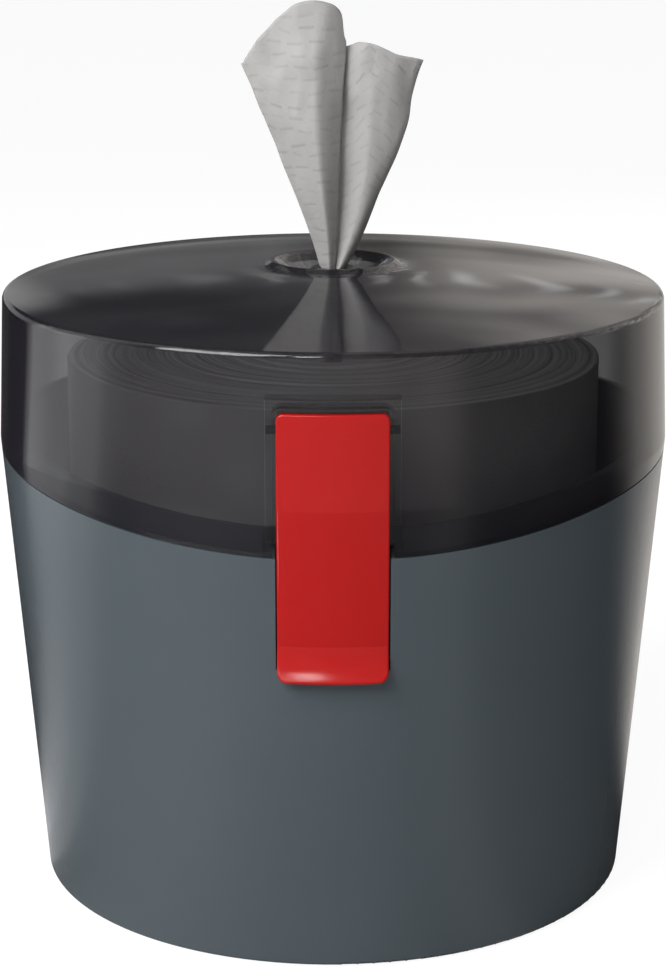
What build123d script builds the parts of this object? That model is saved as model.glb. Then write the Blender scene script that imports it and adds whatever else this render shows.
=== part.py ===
from build123d import *
import math
import os

# Counter-top bucket for one centre-pull roll of wipes, in millimetres.
# The origin is on the bucket's axis, on the surface that it stands on.
# The latch is at the front, towards -Y, and the lid hinge at the back, towards +Y.

# Roll of wipes
ROLL_RADIUS = 89.1
ROLL_BORE_RADIUS = 21.0
ROLL_HEIGHT = 174.1

# Bucket
WALL = 2.6
FLOOR = 2.5
SIDE_ROOM = 8.0
BUCKET_FLARE = 12.2
BASE_ROUND = 1.5
PAD_PROUD = 0.3
PAD_THICKNESS = 1.7
PAD_INSET = 12.0
SEAT_THICKNESS = 1.5
SEAT_RIB_HEIGHT = 5.0
SEAT_RIB_WALL = 1.6
SEAT_ROOM = 1.0

# Lid, from the roll's top up and from the widest line in
HEAD_ROOM = 20.6
LID_SIDE_HEIGHT = 51.2
SEAM_TO_WIDEST = 3.5
LID_LEAN = 1.9
LID_WALL = 2.2
RIM_ROUND = 1.6
CROWN_RISE = 7.9
CROWN_POWER = 2.4
CROWN_STATIONS = 10
RING_RADIUS = 20.3
RING_RISE = 1.44
RING_SPREAD = 1.9
RING_REACH = 4.0
WELL_DEPTH = 5.9
WELL_STATIONS = 16
SLOPE_STEP = 0.1

# Seam between lid and bucket, which dips towards the front
SEAM_DIP = 12.3
SEAM_GAP = 0.5
NECK_HEIGHT = 9.0
NECK_EXTRA_DIP = 1.5
NECK_INSET = 3.4
NECK_WALL = 2.2
NECK_JOG = 3.5

# Latch and its recess
LATCH_WIDTH = 34.0
LATCH_LENGTH = 83.8
LATCH_TOP_DROP = 18.2
LATCH_WALL = 2.6
LATCH_TOP_CORNER = 2.2
LATCH_LOW_CORNER = 3.2
LATCH_EDGE_ROUND = 0.7
LIP_LENGTH = 11.0
LIP_FLARE = 5.0
LIP_HALFWAY_FLARE = 1.5
LIP_TIP = 2.1
POCKET_GAP = 1.45
POCKET_TOP_GAP = 1.8
POCKET_DEPTH = 10.4
POCKET_WALL = 2.0
POCKET_CORNER = 3.4
RECESS_GAP = 0.4
RECESS_RISE = 3.0
RECESS_DEPTH = 13.3
RECESS_WALL = 2.2
BAY_CLEARANCE = 0.8
PIN_DROP = 5.5
PIN_DEPTH = 5.1
LATCH_PIN_RADIUS = 1.25
LATCH_PIN_GRIP = 1.6
LATCH_BOSS_WALL = 1.6
BOSS_LENGTH = 8.0
STIFFENER_DEPTH = 4.0
STIFFENER_WIDTH = 1.6
STIFFENER_GAP = 2.0

# Catch plate and the latch's hook
CATCH_WIDTH = 19.0
CATCH_HEIGHT = 18.0
CATCH_PLATE = 2.0
LEDGE_REACH = 3.8
LEDGE_HEIGHT = 2.5
CATCH_SEAM_DROP = 1.2
LEDGE_TOP_DROP = 2.5
HOOK_WIDTH = 15.0
HOOK_HEIGHT = 5.0
HOOK_TIP_HEIGHT = 1.7
HOOK_GAP = 0.4
HOOK_ENGAGEMENT = 2.8
CATCH_SCREW_SPACING = 11.0

# Rear hinge
HINGE_STANDOFF = 5.6
KNUCKLE_RADIUS = 4.2
KNUCKLE_WEB_DROP = 5.9
HINGE_PIN_RADIUS = 1.5
CENTRE_KNUCKLE_LENGTH = 25.0
HINGE_LENGTH = 48.0
KNUCKLE_GAP = 0.4
BRACKET_HEIGHT = 24.0
BRACKET_PLATE = 3.0
LEAF_HEIGHT = 21.0
PIN_CAP_RADIUS = 3.4
PIN_CAP_LENGTH = 2.4
PIN_CAP_GRIP = 1.6
PIN_CAP_ROUND = 0.8
BRACKET_SCREW_SPACING = 37.0
BRACKET_SCREW_DROP = 14.0
LEAF_SCREW_SPACING = 13.0
LEAF_SCREW_RISE = 13.5

# Small parts
SCREW_RADIUS = 1.5
SCREW_HEAD_RADIUS = 2.7
SCREW_HEAD_HEIGHT = 1.7
SCREW_BITE = 6.5
SCREW_SOCKET_RADIUS = 1.0
SCREW_SOCKET_DEPTH = 0.9
SPOT_RADIUS = 3.5
SPOT_PROUD = 0.4
SCREW_EDGE = 0.5
RUNNING_FIT = 0.05
TIGHT_FIT = 0.02
MOVING_GAP = 0.4
NEAR = 0.07
CUT_REACH = 45.0

# Nozzle stack
NOZZLE_FLANGE_RADIUS = 9.6
NOZZLE_FLANGE = 1.2
NOZZLE_COLLAR_RADIUS = 6.8
NOZZLE_COLLAR_FOOT = 8.6
NOZZLE_COLLAR_RISE = 1.6
NOZZLE_LIP_RADIUS = 4.4
NOZZLE_MOUTH_RADIUS = 5.2
NOZZLE_BORE_RADIUS = 6.0
NOZZLE_SPIGOT_RADIUS = 8.0
NOZZLE_SPIGOT_LENGTH = 9.0
SNAP_BEAD = 0.5
SNAP_BEAD_HEIGHT = 0.8
GASKET_THICKNESS = 0.6
GASKET_WIDTH = 1.5
DIAPHRAGM_THICKNESS = 1.0
DIAPHRAGM_SLITS = 6
SLIT_WIDTH = 0.3
SLIT_MARGIN = 0.8
NUT_RADIUS = 13.0
NUT_HEIGHT = 5.0
NUT_NOTCHES = 8
NUT_NOTCH_RADIUS = 1.6
NUT_ROOM = 0.5

# Wipe, below the nozzle. Each section is a share of the climb, a share of the foot's
# depth, half the width and half the thickness.
STRAND_RADIUS = 3.0
STRAND_FOOT_DROP = 52.0
STRAND_ROOT_GRIP = 0.6
STRAND_TOP_RISE = 5.5
STRAND_SECTIONS = [(0.0, 1.0, 7.0, 1.2), (0.35, 0.8, 5.9, 1.4), (0.7, 0.3, 4.2, 2.5)]

# Wipe, above the nozzle. Each edge of a fold is a share of the height and an x there.
TAIL_HEIGHT = 87.6
TAIL_THICKNESS = 2.4
FOLD_SECTIONS = 9
FOLD_START_DEPTH = 1.0
FOLD_SWELL_TURN = 0.8
FOLD_SWELL_POWER = 1.5
FOLD_BACK_SHARE = 0.7
LEFT_FOLD_BULGE = 11.0
LEFT_FOLD_LEFT_EDGE = [(0, -2.7), (0.77, -29.5), (0.9, -22.1), (1.0, -14.2)]
LEFT_FOLD_RIGHT_EDGE = [(0, 2.1), (0.77, 3.4), (1.0, -3.5)]
RIGHT_FOLD_BULGE = 8.5
RIGHT_FOLD_LEFT_EDGE = [(0, -1.2), (0.3, 1.1), (0.77, 2.3), (0.85, 5.7)]
RIGHT_FOLD_RIGHT_EDGE = [(0, 2.7), (0.33, 17.2), (0.6, 24.7), (0.8, 28.7), (0.85, 21.5)]

# Heights worked out from the sizes above
floor_top = PAD_PROUD + PAD_THICKNESS + FLOOR
roll_bottom = floor_top + SEAT_THICKNESS
roll_top = roll_bottom + ROLL_HEIGHT
rim_top = roll_top + HEAD_ROOM
seam_level = rim_top - LID_SIDE_HEIGHT
widest_level = seam_level + SEAM_TO_WIDEST
neck_level = seam_level + NECK_HEIGHT
neck_front = neck_level - SEAM_DIP - NECK_EXTRA_DIP
latch_top = rim_top - LATCH_TOP_DROP
latch_bottom = latch_top - LATCH_LENGTH
crease_level = latch_bottom + LIP_LENGTH
recess_bottom = latch_bottom + RECESS_RISE

# Radii and depths worked out from the sizes above
base_radius = ROLL_RADIUS + SIDE_ROOM + WALL
widest_radius = base_radius + BUCKET_FLARE
rim_radius = widest_radius - LID_LEAN
seam_front = seam_level - SEAM_DIP
pocket_half = LATCH_WIDTH / 2 + POCKET_GAP
pocket_floor = widest_radius - POCKET_DEPTH
recess_half = LATCH_WIDTH / 2 + RECESS_GAP
recess_floor = widest_radius - RECESS_DEPTH
pin_y = -(widest_radius - PIN_DEPTH - LID_LEAN / 2)
pin_z = latch_top - PIN_DROP
latch_pin_end = pocket_half + LATCH_PIN_GRIP
hinge_y = widest_radius + HINGE_STANDOFF
hinge_z = seam_level + SEAM_GAP
catch_top = seam_front - CATCH_SEAM_DROP
ledge_top = catch_top - LEDGE_TOP_DROP
ledge_bottom = ledge_top - LEDGE_HEIGHT
strand_top = roll_top + STRAND_TOP_RISE
tail_bottom = strand_top + MOVING_GAP
hinge_root = base_radius / 2
reach = widest_radius + CUT_REACH

# The lid's dome, the well in its middle and the nozzle stack in the well
dome_at_ring = rim_top + CROWN_RISE * (1 - (RING_RADIUS / rim_radius) ** CROWN_POWER)
well_floor = dome_at_ring + RING_RISE - WELL_DEPTH
well_underside = well_floor - LID_WALL
well_floor_radius = NOZZLE_FLANGE_RADIUS + 2 * MOVING_GAP
flange_bottom = well_floor + GASKET_THICKNESS
flange_top = flange_bottom + NOZZLE_FLANGE
nozzle_top = flange_top + NOZZLE_COLLAR_RISE
diaphragm_top = flange_top - TIGHT_FIT
diaphragm_bottom = diaphragm_top - DIAPHRAGM_THICKNESS
spigot_bottom = flange_bottom - NOZZLE_SPIGOT_LENGTH


def wall_radius(z):
    """Outer radius of the bucket and of the lid's side at height z."""
    if z <= widest_level:
        return base_radius + BUCKET_FLARE * z / widest_level
    return widest_radius - LID_LEAN * (z - widest_level) / (rim_top - widest_level)


def revolved(*points):
    """Solid of revolution about Z of a straight-sided outline of (radius, height) points."""
    return revolve(make_face(Plane.XZ * Polyline(*points, close=True)), Axis.Z)


def body_inside(inset, low, high):
    """Solid that fills the outer wall, moved in by inset, between two heights."""
    points = [(0, low), (wall_radius(low) - inset, low)]
    if low < widest_level < high:
        points.append((widest_radius - inset, widest_level))
    points += [(wall_radius(high) - inset, high), (0, high)]
    return revolved(*points)


def above_seam(level, dip):
    """Everything above a surface that is level at the back and dips towards the front."""
    sweep_radius = (widest_radius**2 + dip**2) / (2 * dip)
    drop_end = sweep_radius - math.sqrt(sweep_radius**2 - reach**2)
    drop_mid = sweep_radius - math.sqrt(sweep_radius**2 - (reach / 2) ** 2)
    curve = ThreePointArc((0, level), (-reach / 2, level - drop_mid), (-reach, level - drop_end))
    sky = rim_top + TAIL_HEIGHT
    walls = Polyline((-reach, level - drop_end), (-reach, sky), (reach, sky), (reach, level), (0, level))
    return extrude(make_face(Plane.YZ * (curve + walls)), amount=reach, both=True)


def block(x_half, y_low, y_high, z_low, z_high):
    """Box that is centred on x = 0, between two depths and two heights."""
    size = Box(2 * x_half, y_high - y_low, z_high - z_low)
    return Pos(0, (y_low + y_high) / 2, (z_low + z_high) / 2) * size


def upright(radius, low, high, x=0, y=0):
    """Cylinder along Z between two heights."""
    return Pos(x, y, (low + high) / 2) * Cylinder(radius, high - low)


def along_x(radius, x_low, x_high, y, z):
    """Cylinder along X between two places."""
    return Pos((x_low + x_high) / 2, y, z) * Rot(0, 90, 0) * Cylinder(radius, x_high - x_low)


def along_y(radius, y_low, y_high, x, z):
    """Cylinder along Y between two depths."""
    return Pos(x, (y_low + y_high) / 2, z) * Rot(90, 0, 0) * Cylinder(radius, y_high - y_low)


def side_profile(x_low, x_high, *points):
    """Straight-sided outline of (y, z) points, drawn out along X."""
    face = make_face(Plane.YZ.offset(x_low) * Polyline(*points, close=True))
    return extrude(face, amount=x_high - x_low, dir=(1, 0, 0))


def both_sides(piece):
    """The piece and its mirror image across x = 0."""
    return [piece, mirror(piece, about=Plane.YZ)]


def screw(y_seat, x, z, towards):
    """Screw along Y whose head sits at y_seat and whose shank runs towards -1 or +1."""
    head_end = y_seat - towards * SCREW_HEAD_HEIGHT
    shank_end = y_seat + towards * SCREW_BITE
    socket_end = head_end + towards * SCREW_SOCKET_DEPTH
    head = along_y(SCREW_HEAD_RADIUS, min(y_seat, head_end), max(y_seat, head_end), x, z)
    shank = along_y(SCREW_RADIUS, min(y_seat, shank_end), max(y_seat, shank_end), x, z)
    socket = along_y(SCREW_SOCKET_RADIUS, min(head_end, socket_end), max(head_end, socket_end), x, z)
    return head + shank - socket


def spot_seat(wall_inside, x_half):
    """Depth of the flat that a screw head sits on, just inside a curved wall."""
    edge = x_half + SPOT_RADIUS
    return math.sqrt(wall_inside**2 - edge**2) - SPOT_PROUD


bracket_screw_z = hinge_z - BRACKET_SCREW_DROP
leaf_screw_z = hinge_z + LEAF_SCREW_RISE
catch_screw_z = catch_top - CATCH_HEIGHT + SCREW_HEAD_RADIUS + SCREW_EDGE
bracket_seat = spot_seat(wall_radius(bracket_screw_z) - WALL, BRACKET_SCREW_SPACING / 2)
leaf_seat = spot_seat(wall_radius(leaf_screw_z) - LID_WALL, LEAF_SCREW_SPACING / 2)
catch_seat = -(recess_floor + CATCH_PLATE)


def side_by_side(spacing):
    """The x of each of two like things, a spacing apart about x = 0."""
    return (-spacing / 2, spacing / 2)


def screw_hole(y_low, y_high, x, z):
    """Hole along Y that a screw's shank fills, between two depths."""
    return along_y(SCREW_RADIUS + TIGHT_FIT, y_low, y_high, x, z)


def make_bucket_shell():
    """Tapered bucket: wall, floor, latch recess, neck and the flats for the screws."""
    seam = above_seam(seam_level, SEAM_DIP)
    neck_line = above_seam(neck_level, SEAM_DIP + NECK_EXTRA_DIP)
    under_neck = above_seam(seam_level - NECK_JOG, SEAM_DIP)
    bay_half = pocket_half + POCKET_WALL + BAY_CLEARANCE
    wall_side = body_inside(0, PAD_PROUD, neck_level)
    wall_side = fillet(wall_side.edges().sort_by(Axis.Z)[0], BASE_ROUND)
    tub = wall_side - seam
    neck = body_inside(NECK_INSET, seam_front - NECK_JOG, neck_level) - neck_line
    hollow = body_inside(WALL, floor_top, neck_level) - under_neck
    hollow += body_inside(NECK_INSET + NECK_WALL, floor_top, neck_level)
    # The recess has its own back and side walls, which go on up inside the neck.
    recess_back = -(recess_floor - RECESS_WALL)
    low_tower = block(recess_half + RECESS_WALL, -reach, recess_back, recess_bottom - RECESS_WALL, seam_front)
    high_tower = block(bay_half + RECESS_WALL, -reach, recess_back, seam_front - NECK_JOG, neck_front)
    tower = (low_tower & (wall_side - seam)) + (high_tower & (neck + (wall_side - seam)))
    shell = (tub + neck) - hollow + tower
    for x in side_by_side(CATCH_SCREW_SPACING):
        shell += along_y(SPOT_RADIUS, -recess_floor, recess_back + SCREW_BITE / 2, x, catch_screw_z)
    for x in side_by_side(BRACKET_SCREW_SPACING):
        shell += along_y(SPOT_RADIUS, bracket_seat, bracket_seat + WALL, x, bracket_screw_z)
    shell -= block(recess_half, -reach, -recess_floor, recess_bottom, neck_level)
    shell -= block(bay_half, -reach, -recess_floor, seam_front, neck_level) & seam
    for x in side_by_side(CATCH_SCREW_SPACING):
        shell -= screw_hole(-reach, catch_seat + SCREW_BITE + TIGHT_FIT, x, catch_screw_z)
    for x in side_by_side(BRACKET_SCREW_SPACING):
        shell -= screw_hole(bracket_seat - WALL, reach, x, bracket_screw_z)
    pad_pocket = upright(base_radius - PAD_INSET + TIGHT_FIT, 0, PAD_PROUD + PAD_THICKNESS)
    return shell - pad_pocket


def make_non_slip_pad():
    """Rubber disc let into the underside, standing a little proud of it."""
    return upright(base_radius - PAD_INSET, 0, PAD_PROUD + PAD_THICKNESS)


def make_roll_seat():
    """Loose plate on the floor, with a low ring round the foot of the roll and a centre boss."""
    ring_inner = ROLL_RADIUS + SEAT_ROOM
    plate = upright(ring_inner + SEAT_RIB_WALL, floor_top, roll_bottom)
    ring = upright(ring_inner + SEAT_RIB_WALL, floor_top, roll_bottom + SEAT_RIB_HEIGHT)
    ring -= upright(ring_inner, floor_top, roll_bottom + SEAT_RIB_HEIGHT)
    boss_outer = ROLL_BORE_RADIUS - SEAT_ROOM
    boss = upright(boss_outer, floor_top, roll_bottom + SEAT_RIB_HEIGHT)
    boss -= upright(boss_outer - SEAT_RIB_WALL, roll_bottom, roll_bottom + SEAT_RIB_HEIGHT)
    return plate + ring + boss


def make_wipe_roll():
    """Wound roll of wipes with an open bore, because the web is drawn from its middle."""
    return upright(ROLL_RADIUS, roll_bottom, roll_top) - upright(ROLL_BORE_RADIUS, roll_bottom, roll_top)


def crown_height(radius):
    """Height of the lid's top at a radius: a shallow dome, and inside its low ring a round well."""
    if radius < RING_RADIUS:
        share = (radius - well_floor_radius) / (RING_RADIUS - well_floor_radius)
        return well_floor + WELL_DEPTH * (1 - math.cos(math.pi * share)) / 2
    dome = rim_top + CROWN_RISE * (1 - (radius / rim_radius) ** CROWN_POWER)
    return dome + RING_RISE * math.exp(-(((radius - RING_RADIUS) / RING_SPREAD) ** 2))


def crown_slope(radius):
    """Slope of the lid's top at a radius."""
    return (crown_height(radius + SLOPE_STEP) - crown_height(radius - SLOPE_STEP)) / (2 * SLOPE_STEP)


def crown_radii():
    """Radii along the dome, from inside the rounded rim to just outside the ring."""
    start = rim_radius - RIM_ROUND
    end = RING_RADIUS + RING_REACH
    return [start + (end - start) * step / CROWN_STATIONS for step in range(CROWN_STATIONS + 1)]


def make_lid_outer():
    """Lid as a full solid, with the rounded rim, the dome, the ring and the well on top."""
    low = seam_front - NECK_JOG
    rim_low = rim_top - RIM_ROUND
    crown = [(radius, crown_height(radius)) for radius in crown_radii()]
    for step in range(1, WELL_STATIONS + 1):
        radius = crown[CROWN_STATIONS][0]
        radius += (well_floor_radius - radius) * step / WELL_STATIONS
        crown.append((radius, crown_height(radius)))
    round_middle = RIM_ROUND * (1 - math.sqrt(0.5))
    side = Polyline((0, low), (wall_radius(low), low), (widest_radius, widest_level), (rim_radius, rim_low))
    rim = ThreePointArc((rim_radius, rim_low), (rim_radius - round_middle, rim_top - round_middle), crown[0])
    top = Spline(*crown)
    floor = Polyline(crown[-1], (0, well_floor), (0, low))
    return revolve(make_face(Plane.XZ * (side + rim + top + floor)), Axis.Z)


def make_lid_hollow():
    """Space inside the lid: its outer surface moved in by the lid's wall."""
    low = seam_front - 2 * NECK_JOG
    inner_rim = rim_radius - LID_WALL
    inside = []
    for radius in crown_radii():
        drop = LID_WALL * math.sqrt(1 + crown_slope(radius) ** 2)
        inside.append((min(radius, inner_rim), crown_height(radius) - drop))
    side = Polyline((0, low), (wall_radius(low) - LID_WALL, low),
                    (widest_radius - LID_WALL, widest_level), inside[0])
    top = Spline(*inside)
    middle = Polyline(inside[-1], (RING_RADIUS, inside[-1][1]), (NUT_RADIUS + NUT_ROOM, well_underside),
                      (0, well_underside), (0, low))
    return revolve(make_face(Plane.XZ * (side + top + middle)), Axis.Z)


def make_lid_cover():
    """Smoked lid in one moulding: skirt, domed top, well and the pocket for the latch."""
    outer = make_lid_outer()
    hollow = make_lid_hollow()
    above = above_seam(seam_level + SEAM_GAP, SEAM_DIP)
    pocket_top = latch_top + POCKET_TOP_GAP
    pocket_low = seam_front - NECK_JOG
    pocket_box = block(pocket_half + POCKET_WALL, -reach, -(pocket_floor - POCKET_WALL),
                       pocket_low, pocket_top + POCKET_WALL)
    pocket = block(pocket_half, -reach, -pocket_floor, pocket_low, pocket_top)
    pocket = fillet(pocket.edges().filter_by(Axis.Y).group_by(Axis.Z)[-1], POCKET_CORNER)
    lid = outer - hollow + (outer & pocket_box)
    for x in side_by_side(LEAF_SCREW_SPACING):
        lid += along_y(SPOT_RADIUS, leaf_seat, leaf_seat + LID_WALL, x, leaf_screw_z)
    lid -= pocket
    lid &= above
    lid -= along_x(LATCH_PIN_RADIUS + TIGHT_FIT, -latch_pin_end, latch_pin_end, pin_y, pin_z)
    for x in side_by_side(LEAF_SCREW_SPACING):
        lid -= screw_hole(leaf_seat - WALL, reach, x, leaf_screw_z)
    return lid - upright(NOZZLE_SPIGOT_RADIUS + TIGHT_FIT, well_underside - LID_WALL, nozzle_top)


def make_latch_pin():
    """Pin of the lid's smoked plastic across the top of the pocket, held in its two side walls."""
    end = latch_pin_end - TIGHT_FIT
    return along_x(LATCH_PIN_RADIUS, -end, end, pin_y, pin_z)


def latch_face():
    """Half section of the latch's curved plate, as (radius, height), with its flared lip."""
    lip_end = wall_radius(latch_bottom) + LIP_FLARE
    halfway = crease_level - LIP_LENGTH / 2
    bend = (wall_radius(halfway) + LIP_HALFWAY_FLARE, halfway)
    crease = (wall_radius(crease_level), crease_level)
    inner_crease = (crease[0] - LATCH_WALL, crease_level)
    inner_bend = (bend[0] - LATCH_WALL, halfway)
    inner_end = (lip_end - LIP_TIP, latch_bottom)
    outside = Polyline((wall_radius(latch_top), latch_top), (widest_radius, widest_level), crease)
    lip = ThreePointArc(crease, bend, (lip_end, latch_bottom))
    tip = Line((lip_end, latch_bottom), inner_end)
    lip_back = ThreePointArc(inner_end, inner_bend, inner_crease)
    inside = Polyline(inner_crease, (widest_radius - LATCH_WALL, widest_level),
                      (wall_radius(latch_top) - LATCH_WALL, latch_top), (wall_radius(latch_top), latch_top))
    return make_face(Plane.XZ * (outside + lip + tip + lip_back + inside))


def outer_rim(plate):
    """Edges round the latch plate's outer face, without the lines that cross it."""
    rim = []
    for edge in plate.edges():
        spot = edge @ 0.5
        flared = LIP_FLARE * max(0, crease_level - spot.Z) / LIP_LENGTH
        crossing = min(abs(spot.Z - widest_level), abs(spot.Z - crease_level)) < NEAR
        outside = math.hypot(spot.X, spot.Y) > wall_radius(spot.Z) + flared / 2 - LATCH_WALL / 2
        if outside and not crossing:
            rim.append(edge)
    return rim


def make_latch_lever():
    """Latch in one moulding: curved plate, grip lip, pin bosses, stiffeners and hook."""
    half = LATCH_WIDTH / 2
    front_view = block(half, -reach, 0, latch_bottom, latch_top)
    corners = front_view.edges().filter_by(Axis.Y).group_by(Axis.Z)
    front_view = fillet(corners[-1], LATCH_TOP_CORNER)
    corners = front_view.edges().filter_by(Axis.Y).group_by(Axis.Z)
    front_view = fillet(corners[0], LATCH_LOW_CORNER)
    plate = revolve(latch_face(), Axis.Z) & front_view
    plate = fillet(outer_rim(plate), LATCH_EDGE_ROUND)
    boss_radius = LATCH_PIN_RADIUS + RUNNING_FIT + LATCH_BOSS_WALL
    boss_end = half - MOVING_GAP
    boss = along_x(boss_radius, boss_end - BOSS_LENGTH, boss_end, pin_y, pin_z)
    lever = plate + both_sides(boss)
    inner_face = widest_radius - LATCH_WALL
    rib = block(STIFFENER_WIDTH / 2, -inner_face, -(inner_face - STIFFENER_DEPTH),
                crease_level + LIP_LENGTH, pin_z - boss_radius - STIFFENER_GAP)
    rib = Pos(boss_end - STIFFENER_WIDTH / 2, 0, 0) * rib
    lever += both_sides(rib & body_inside(LATCH_WALL / 2, latch_bottom, latch_top))
    hook_top = ledge_bottom - HOOK_GAP
    hook_tip = -(recess_floor + CATCH_PLATE + LEDGE_REACH - HOOK_ENGAGEMENT)
    plate_back = -(wall_radius(hook_top) - LATCH_WALL / 2)
    hook_low = hook_top - HOOK_HEIGHT
    lever += side_profile(-HOOK_WIDTH / 2, HOOK_WIDTH / 2,
                          (plate_back, hook_top), (hook_tip, hook_top),
                          (hook_tip, hook_top - HOOK_TIP_HEIGHT),
                          (plate_back + HOOK_TIP_HEIGHT, hook_low), (plate_back, hook_low))
    return lever - along_x(LATCH_PIN_RADIUS + RUNNING_FIT, -half, half, pin_y, pin_z)


def make_latch_catch():
    """Catch plate on the recess's back wall, with the ledge that the hook goes under."""
    face = -recess_floor
    plate = block(CATCH_WIDTH / 2, face - CATCH_PLATE, face, catch_top - CATCH_HEIGHT, catch_top)
    ledge_root = face - CATCH_PLATE / 2
    ledge_tip = catch_seat - LEDGE_REACH
    ledge = side_profile(-CATCH_WIDTH / 2, CATCH_WIDTH / 2,
                         (ledge_root, ledge_bottom), (ledge_tip, ledge_bottom),
                         (ledge_tip, ledge_bottom + LEDGE_HEIGHT / 2), (ledge_root, ledge_top))
    catch = plate + ledge
    for x in side_by_side(CATCH_SCREW_SPACING):
        catch -= screw_hole(catch_seat, face, x, catch_screw_z)
    return catch


def make_screw_pair(y_seat, spacing, z, towards):
    """Two like screws, side by side."""
    return Compound(children=[screw(y_seat, x, z, towards) for x in side_by_side(spacing)])


def make_hinge_bracket():
    """Hinge half on the bucket: two outer knuckles on webs that are joined by a plate."""
    inner_edge = CENTRE_KNUCKLE_LENGTH / 2 + KNUCKLE_GAP
    low = hinge_z - BRACKET_HEIGHT
    back = hinge_y + KNUCKLE_RADIUS
    seam_y = hinge_y - KNUCKLE_RADIUS
    web = side_profile(inner_edge, HINGE_LENGTH / 2,
                       (hinge_root, low), (wall_radius(low) + BRACKET_PLATE / 2, low),
                       (back, hinge_z - KNUCKLE_WEB_DROP), (back, hinge_z), (seam_y, hinge_z),
                       (seam_y, seam_level - SEAM_GAP), (hinge_root, seam_level - SEAM_GAP))
    web += along_x(KNUCKLE_RADIUS, inner_edge, HINGE_LENGTH / 2, hinge_y, hinge_z)
    plate_top = hinge_z - KNUCKLE_RADIUS - BRACKET_PLATE
    plate = block(inner_edge, hinge_root, wall_radius(low) + BRACKET_PLATE, low, plate_top)
    bracket = web + mirror(web, about=Plane.YZ) + plate
    bracket -= body_inside(0, PAD_PROUD, neck_level)
    bracket -= along_x(HINGE_PIN_RADIUS + TIGHT_FIT, -HINGE_LENGTH, HINGE_LENGTH, hinge_y, hinge_z)
    for x in side_by_side(BRACKET_SCREW_SPACING):
        bracket -= screw_hole(hinge_root, bracket_seat + SCREW_BITE + TIGHT_FIT, x, bracket_screw_z)
    return bracket


def make_lid_hinge_leaf():
    """Hinge half on the lid: the centre knuckle on a block that fits the lid's side."""
    half = CENTRE_KNUCKLE_LENGTH / 2
    back = hinge_y + KNUCKLE_RADIUS
    seam_y = hinge_y - KNUCKLE_RADIUS
    low = hinge_z + SEAM_TO_WIDEST
    high = hinge_z + LEAF_HEIGHT
    leaf = side_profile(-half, half,
                        (seam_y, hinge_z), (back, hinge_z), (back, hinge_z + KNUCKLE_RADIUS),
                        (wall_radius(high) + BRACKET_PLATE, high), (hinge_root, high),
                        (hinge_root, low), (seam_y, low))
    leaf += along_x(KNUCKLE_RADIUS, -half, half, hinge_y, hinge_z)
    leaf -= body_inside(0, seam_front, rim_top)
    leaf -= along_x(HINGE_PIN_RADIUS + RUNNING_FIT, -half, half, hinge_y, hinge_z)
    for x in side_by_side(LEAF_SCREW_SPACING):
        leaf -= screw_hole(hinge_root, leaf_seat + SCREW_BITE + TIGHT_FIT, x, leaf_screw_z)
    return leaf


def make_hinge_pin():
    """Steel pin through all three knuckles, with its ends out for the caps."""
    end = HINGE_LENGTH / 2 + PIN_CAP_GRIP
    return along_x(HINGE_PIN_RADIUS, -end, end, hinge_y, hinge_z)


def make_hinge_pin_caps():
    """Two push-on caps over the pin's ends."""
    start = HINGE_LENGTH / 2
    cap = along_x(PIN_CAP_RADIUS, start, start + PIN_CAP_LENGTH, hinge_y, hinge_z)
    cap = fillet(cap.edges().sort_by(Axis.X)[-1], PIN_CAP_ROUND)
    cap -= along_x(HINGE_PIN_RADIUS + TIGHT_FIT, start, start + PIN_CAP_GRIP + TIGHT_FIT, hinge_y, hinge_z)
    return Compound(children=both_sides(cap))


def make_nozzle_gasket():
    """Flat rubber washer between the well's floor and the nozzle's flange."""
    inner = NOZZLE_SPIGOT_RADIUS + TIGHT_FIT
    washer = upright(inner + GASKET_WIDTH, well_floor, flange_bottom)
    return washer - upright(inner, well_floor, flange_bottom)


def make_nozzle_body():
    """Nozzle: flange, raised collar round the wipe, and a spigot down through the lid."""
    outer = revolved((0, spigot_bottom), (NOZZLE_SPIGOT_RADIUS, spigot_bottom),
                     (NOZZLE_SPIGOT_RADIUS, flange_bottom), (NOZZLE_FLANGE_RADIUS, flange_bottom),
                     (NOZZLE_FLANGE_RADIUS, flange_top), (NOZZLE_COLLAR_FOOT, flange_top),
                     (NOZZLE_COLLAR_RADIUS, nozzle_top), (0, nozzle_top))
    bead_top = diaphragm_bottom - TIGHT_FIT
    bead_low = bead_top - SNAP_BEAD_HEIGHT
    bead = NOZZLE_BORE_RADIUS - SNAP_BEAD
    bore = revolved((0, spigot_bottom), (NOZZLE_BORE_RADIUS, spigot_bottom), (NOZZLE_BORE_RADIUS, bead_low),
                    (bead, bead_low + SNAP_BEAD_HEIGHT / 2), (bead, bead_top), (NOZZLE_BORE_RADIUS, bead_top),
                    (NOZZLE_BORE_RADIUS, flange_top), (NOZZLE_LIP_RADIUS, flange_top),
                    (NOZZLE_MOUTH_RADIUS, nozzle_top), (0, nozzle_top))
    return outer - bore


def make_nozzle_nut():
    """Ring nut under the well, with finger notches round its edge."""
    nut_low = well_underside - NUT_HEIGHT
    nut = upright(NUT_RADIUS, nut_low, well_underside)
    nut -= upright(NOZZLE_SPIGOT_RADIUS + RUNNING_FIT, nut_low, well_underside)
    for turn in range(NUT_NOTCHES):
        notch = upright(NUT_NOTCH_RADIUS, nut_low, well_underside, NUT_RADIUS)
        nut -= Rot(0, 0, 360 * turn / NUT_NOTCHES) * notch
    return nut


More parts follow.
